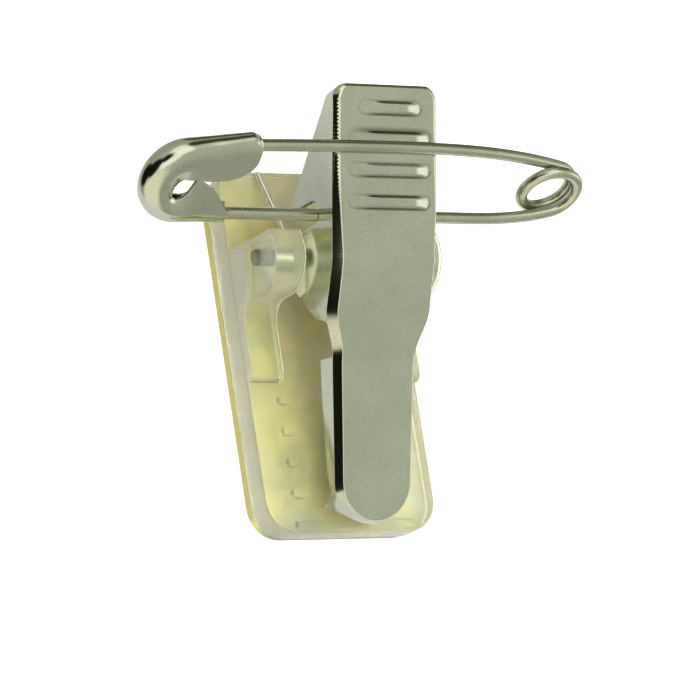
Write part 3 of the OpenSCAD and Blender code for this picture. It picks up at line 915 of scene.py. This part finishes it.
def buildWire():
    coil = [Vector(coilPoint(i/110)) for i in range(111)]
    armEnd, legEnd = Vector((pin["armTop"], pin["gap"], 0.0)), Vector((pin["legEnd"], 0.0, 0.0))
    sideways = Vector((1.0, 0.0, 0.0))
    route = [armPoint(lerp(pin["armIn"], pin["armTop"], i/40)) for i in range(40)]
    route += smoothJoin(armEnd, sideways, coil[0], coil[1] - coil[0], 40)
    route += coil[:-1]
    route += smoothJoin(coil[-1], coil[-1] - coil[-2], legEnd, -sideways, 24)
    route += [Vector((lerp(pin["legEnd"], pin["legIn"], i/12), 0.0, 0.0)) for i in range(13)]
    radii = []
    for x, p, n in route:
        # only the arm is ground to a point
        run = x - pin["armIn"] if p > pin["coilP"] else 3*pin["point"]
        radii.append((wireR - pin["slack"])*min(1.0, pin["pointShare"] + run/pin["point"]))
    path = [inPinPlane(*q) for q in route]
    level = inPinPlane(0, 0, 1) - inPinPlane(0, 0, 0)
    return sweptTube("pin_wire_bent", path, radii, 32, level)


finishPiece(buildWire(), wireMetal, "safety_pin", "pin_wire")
print("safety pin wire made")


# Cap: sheet folded round the arm and crimped on the fixed leg
capFold = {
    "mid": (pin["capR"] + 2.28 - pin["capReach"], 2.26), "round": (2.28, 2.2), "turn": 98.0,
    "arm": (4.55, 0.64), "leg": 3.75, "skew": -0.6, "swell": 0.45, "tuck": 0.22, "flapN": 0.72,
    "bulge": [(-1.03, 0.74), (-0.4, 0.84), (0.15, 1.0), (0.8, 1.0), (1.6, 0.74), (2.02, 0.68)],
}
# How far the fold's front and back flaps reach in from its outer edge, by place along the fold:
# the arm's side lies below 0, the round turn between 0 and 1, and the fixed leg's side above 1
capFront = [
    (-1.03, 0.5), (-1.02, 1.0), (-0.98, 1.4), (-0.9, 1.76), (-0.77, 2.06), (-0.56, 2.2),
    (-0.34, 2.12), (-0.16, 1.95), (0.0, 1.85), (0.12, 1.78), (0.24, 1.68), (0.36, 1.6),
    (0.48, 1.52), (0.6, 1.36), (0.72, 1.14), (0.78, 1.08), (0.84, 1.1), (0.9, 1.2),
    (0.97, 1.42), (1.065, 1.87), (1.11, 2.36), (1.145, 2.66), (1.19, 2.62), (1.3, 2.46),
    (1.5, 2.1), (1.64, 1.65), (1.77, 1.2), (1.945, 0.66), (2.02, 0.5),
]
capBack = [
    (-1.03, 0.5), (-1.02, 0.95), (-0.98, 1.3), (-0.9, 1.6), (-0.77, 1.85), (-0.56, 2.0),
    (-0.16, 1.75), (0.0, 1.65), (0.24, 1.5), (0.48, 1.4), (0.6, 1.3), (0.72, 1.1), (0.84, 1.0),
    (0.94, 0.92), (1.15, 0.82), (1.27, 0.95), (1.37, 1.12), (1.46, 1.3), (1.55, 1.3),
    (1.64, 1.15), (1.79, 0.8), (1.9, 0.6), (2.02, 0.45),
]


def foldPoint(s):
    # middle line of the fold in the pin's plane
    if s < 0:
        x, p = foldPoint(0)
        return (x - s*capFold["arm"][0], p - s*capFold["arm"][1])
    cx, cp = capFold["mid"]
    rx, rp = capFold["round"]
    if s > 1:
        return (cx + (s - 1)*capFold["leg"], cp - rp)
    a = math.radians(lerp(capFold["turn"], 270.0, s))
    return (cx + rx*math.cos(a), cp + rp*math.sin(a))


def capRing(s):
    # section square to the fold: outer wall from front to back, then the inner wall back again
    x, p = foldPoint(s)
    x0, p0 = foldPoint(s - 0.01)
    x1, p1 = foldPoint(s + 0.01)
    flow = Vector((x1 - x0, p1 - p0)).normalized()
    front, rear = along(capFront, s), along(capBack, s)
    r, t, bulge = pin["capR"], pin["capSheet"], along(capFold["bulge"], s, soft=True)
    turns, lip = [math.pi*i/18 for i in range(19)], 0.05
    swell = min(capFold["swell"], 0.4*min(front, rear))
    tuck = capFold["tuck"]*(1 - smoothStep(-1.03, -0.93, s))
    inner = bulge - t

    def bow(reach, n):
        return [(swell - reach*math.sin(a), n*math.cos(a)) for a in turns]
    section = [(front - lip, bulge), (lerp(front, swell, 0.5), bulge)]
    section += bow(swell + r - tuck, bulge)
    section += [(lerp(rear, swell, 0.5), -bulge), (rear - lip, -bulge), (rear, -bulge + lip),
                (rear, -inner - lip), (rear - lip, -inner), (lerp(rear, swell, 0.5), -inner)]
    section += reversed(bow(swell + r - t - tuck, inner))
    section += [(lerp(front, swell, 0.5), inner), (front - lip, inner), (front, inner + lip),
                (front, bulge - lip)]
    ring = []
    for deep, n in section:
        # the flaps lean in towards their free edges
        share = max(0.0, deep - swell)/((front if n > 0 else rear) - swell)
        n -= math.copysign(max(0.0, bulge - capFold["flapN"])*share, n)
        skew = capFold["skew"]*max(0.0, n)*(max(0.0, s - 1.3)/0.72)**2
        ring.append(inPinPlane(x - flow.y*deep + skew*flow.x, p + flow.x*deep + skew*flow.y, n))
    return ring


def buildCap():
    stretches = [(-1.03, -0.77, 10), (-0.77, 0.9, 60), (0.9, 1.12, 18), (1.12, 2.02, 30)]
    places = [lerp(low, high, i/steps) for low, high, steps in stretches for i in range(steps)]
    rings = [capRing(s) for s in places + [stretches[-1][1]]]
    points, faces = skinRings(rings)
    size = len(rings[0])
    last = (len(rings) - 1)*size
    # the mouths of the fold: quads between its outer and inner wall, then across its two free edges
    rear = size//2 - 3
    mouth = [(i, i + 1, size - 4 - i, size - 3 - i) for i in range(rear)]
    mouth += [(size - 3, size - 2, size - 1, 0), (rear, rear + 1, rear + 2, rear + 3)]
    faces += mouth
    faces += [tuple(last + k for k in reversed(quad)) for quad in mouth]
    piece = newPiece("folded_cap", points, faces, 40.0)
    weldPiece(piece)
    return piece


finishPiece(buildCap(), sheetMetal, "safety_pin", "pin_cap")
print("cap made")


# Torsion spring: lower leg on the plate, coils round the pivot pin, upper leg under the thumb plate
spring = {
    "wire": 0.36, "r": 0.95, "turns": 11, "left": -2.3, "step": 0.42, "legTurn": -118.0,
    "liftTurn": 156.0, "liftLength": 5.34, "foot": (-3.4, 6.35), "gap": 0.02,
}


def buildSpring():
    r, turns = spring["r"], spring["turns"]
    right = spring["left"] + spring["step"]*turns
    sweep = spring["liftTurn"] - spring["legTurn"] - 360*(turns + 1)
    steps, legSteps = 36*turns, 12
    foot = (spring["foot"][0], spring["foot"][1], spring["wire"]/2 + spring["gap"] - drop)
    coil = []
    for i in range(steps + 1):
        a = math.radians(spring["legTurn"] + sweep*i/steps)
        coil.append((lerp(spring["left"], right, i/steps), r*math.cos(a), r*math.sin(a)))
    lift = math.radians(spring["liftTurn"])
    x, y, z = coil[-1]
    reach = spring["liftLength"]
    lower = [tuple(lerp(foot[k], coil[0][k], i/legSteps) for k in range(3))
             for i in range(legSteps)]
    upper = [(x, y + reach*math.sin(lift)*i/legSteps, z - reach*math.cos(lift)*i/legSteps)
             for i in range(1, legSteps + 1)]
    path = [Vector((qx, pivotY + qy, pivotZ + qz)) for qx, qy, qz in lower + coil + upper]
    return sweptTube("torsion_spring_wound", path, [spring["wire"]/2]*len(path), 16,
                     Vector((1, 0, 0)))


springPiece = buildSpring()
springPiece.data.materials.append(springMetal)
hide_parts("torsion_spring")
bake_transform(springPiece)
print("torsion spring made")


# Stage: pale floor, soft light, and a plain studio round it
studio = {
    "floorSize": 400.0, "mirrorFloorR": 36.0, "floorColor": "#fbfbfb",
    "mirrorFloor": "#adacb2", "floorGlow": 0.25,
    "sky": [(0.0, "#b4b4ac"), (0.3, "#b9bbb0"), (0.8, "#ccd0c6"), (1.0, "#d2d4ce")],
}


def disc(name, radius, middleX, z, color):
    # a flat round card that faces up and glows faintly
    sides = 48
    rings = [[(middleX + radius*s*math.cos(a), radius*s*math.sin(a), z) for a in fullTurn(sides)]
             for s in (0.02, 1.0)]
    points, faces = skinRings(rings)
    faces = [tuple(reversed(f)) for f in faces]
    faces.append(tuple(range(sides)))
    piece = newPiece(name, points, faces)
    material, tree = newMaterial(name + "_card")
    glow = addNode(tree, "ShaderNodeEmission",
                   {"Color": linearColor(color), "Strength": studio["floorGlow"]}, {})
    matt = addNode(tree, "ShaderNodeBsdfDiffuse", {"Color": linearColor(color)}, {})
    both = addNode(tree, "ShaderNodeAddShader", {}, {0: glow.outputs[0], 1: matt.outputs[0]})
    addNode(tree, "ShaderNodeOutputMaterial", {}, {"Surface": both.outputs[0]})
    piece.data.materials.append(material)
    return piece


# The floor, and a greyer one near the clip that only its reflections see
floor = disc("floor", studio["floorSize"], 0.0, -0.02, studio["floorColor"])
floor.visible_glossy = False
mirrorFloor = disc("floor_near", studio["mirrorFloorR"], 12.0, 0.0, studio["mirrorFloor"])
mirrorFloor.visible_camera = False
mirrorFloor.visible_diffuse = False
mirrorFloor.visible_transmission = False
mirrorFloor.visible_shadow = False

# Studio cards seen in the metal: direction, inner and outer half angle, colour, level
cards = [
    ("frontLow", (-0.45, -0.89, 0.0), 30, 50, "#fff6e4", 1.1),
    ("overhead", (-0.42, -0.2, 0.88), 18, 34, "#fffdf5", 1.4),
    ("overheadBack", (-0.15, 0.4, 0.9), 14, 28, "#fffdf5", 1.3),
    ("overheadRight", (0.08, 0.14, 0.98), 12, 22, "#fffdf5", 1.5),
    ("rightBackDark", (0.547, 0.63, 0.55), 14, 22, "#7d785a", 0.8),
    ("rightLow", (0.95, -0.1, 0.25), 8, 20, "#fffaf0", 1.5),
    ("rightMid", (0.82, -0.17, 0.55), 3, 17, "#fffaf0", 1.5),
    ("backDark", (0.5, 0.85, -0.05), 14, 22, "#6b6446", 0.8),
    ("capTopDark", (0.36, 0.62, 0.69), 9, 16, "#4c472f", 0.8),
    ("backLeftDark", (-0.59, 0.05, 0.8), 11, 19, "#0c0c08", 0.3),
    ("leftDarkHigh", (-0.95, -0.05, 0.3), 22, 29, "#1a1c14", 0.8),
    ("leftDarkLow", (-0.93, 0.1, -0.35), 22, 29, "#1a1c14", 0.8),
]


def buildWorld():
    world = bpy.data.worlds.new("studio")
    bpy.context.scene.world = world
    world.use_nodes = True
    tree = world.node_tree
    tree.nodes.clear()
    where = addNode(tree, "ShaderNodeTexCoord", {}, {})
    look = where.outputs["Generated"]
    split = addNode(tree, "ShaderNodeSeparateXYZ", {}, {"Vector": look})
    sky = addNode(tree, "ShaderNodeValToRGB", {"stops": studio["sky"]},
                  {"Fac": split.outputs["Z"]})
    color = sky.outputs["Color"]
    for name, direction, inner, outer, hexText, level in cards:
        near = addNode(tree, "ShaderNodeVectorMath",
                       {"operation": "DOT_PRODUCT", "label": name,
                        1: Vector(direction).normalized()}, {0: look})
        share = addNode(tree, "ShaderNodeMapRange", {
            "interpolation_type": "SMOOTHSTEP", "From Min": math.cos(math.radians(outer)),
            "From Max": math.cos(math.radians(inner))}, {"Value": near.outputs["Value"]})
        tint = tuple(c*level for c in linearColor(hexText)[:3]) + (1.0,)
        mix = addNode(tree, "ShaderNodeMix", {"data_type": "RGBA", 7: tint},
                      {0: share.outputs["Result"], 6: color})
        color = mix.outputs[2]
    studioLight = addNode(tree, "ShaderNodeBackground", {}, {"Color": color})
    white = addNode(tree, "ShaderNodeBackground", {"Color": linearColor("#ffffff")}, {})
    # the camera sees plain white, and half of it through the clear plastic
    ray = addNode(tree, "ShaderNodeLightPath", {}, {})
    seen = addNode(tree, "ShaderNodeMath", {"operation": "MULTIPLY_ADD", 1: 0.5},
                   {0: ray.outputs["Is Transmission Ray"], 2: ray.outputs["Is Camera Ray"]})
    both = addNode(tree, "ShaderNodeMixShader", {},
                   {0: seen.outputs[0], 1: studioLight.outputs[0], 2: white.outputs[0]})
    addNode(tree, "ShaderNodeOutputWorld", {}, {"Surface": both.outputs[0]})


buildWorld()


def softBox(name, place, size, power):
    # a square light that points at the clip and lights it without showing in the metal
    data = bpy.data.lights.new(name, "AREA")
    data.size = size*mm
    data.energy = power
    lamp = bpy.data.objects.new(name, data)
    bpy.context.scene.collection.objects.link(lamp)
    lamp.location = Vector(place)*mm
    lamp.rotation_mode = "QUATERNION"
    lamp.rotation_quaternion = (-lamp.location).to_track_quat("-Z", "Y")
    lamp.visible_glossy = False


softBox("key", (-60, -60, 220), 160, 0.59)
softBox("fill", (140, 60, 160), 200, 0.34)
print("stage made")


# Camera: fitted to the photograph, so its place is known in the clip's own frame
view = {"place": (-156.72, -67.78, 234.91), "across": 34.26, "dip": -13.555, "roll": 0.248,
        "focal": 236.62}


def buildCamera():
    data = bpy.data.cameras.new("camera")
    data.sensor_width = 36.0
    data.lens = view["focal"]
    data.clip_start, data.clip_end = 0.01, 5.0
    camera = bpy.data.objects.new("camera", data)
    bpy.context.scene.collection.objects.link(camera)
    a, e, roll = (math.radians(view[k]) for k in ("across", "dip", "roll"))
    back = Vector((-math.sin(a)*math.cos(e), math.sin(e), math.cos(a)*math.cos(e)))
    right = (Vector((1, 0, 0)) - back*back.x).normalized()
    up = back.cross(right)
    turnedRight = math.cos(roll)*right + math.sin(roll)*up
    turnedUp = math.cos(roll)*up - math.sin(roll)*right
    turn = Matrix((turnedRight, turnedUp, back)).transposed().to_4x4()
    camera.matrix_world = Matrix.Translation(Vector(view["place"])*mm) @ turn
    bpy.context.scene.camera = camera


buildCamera()
bpy.context.scene.view_settings.view_transform = "Standard"
print("camera made")
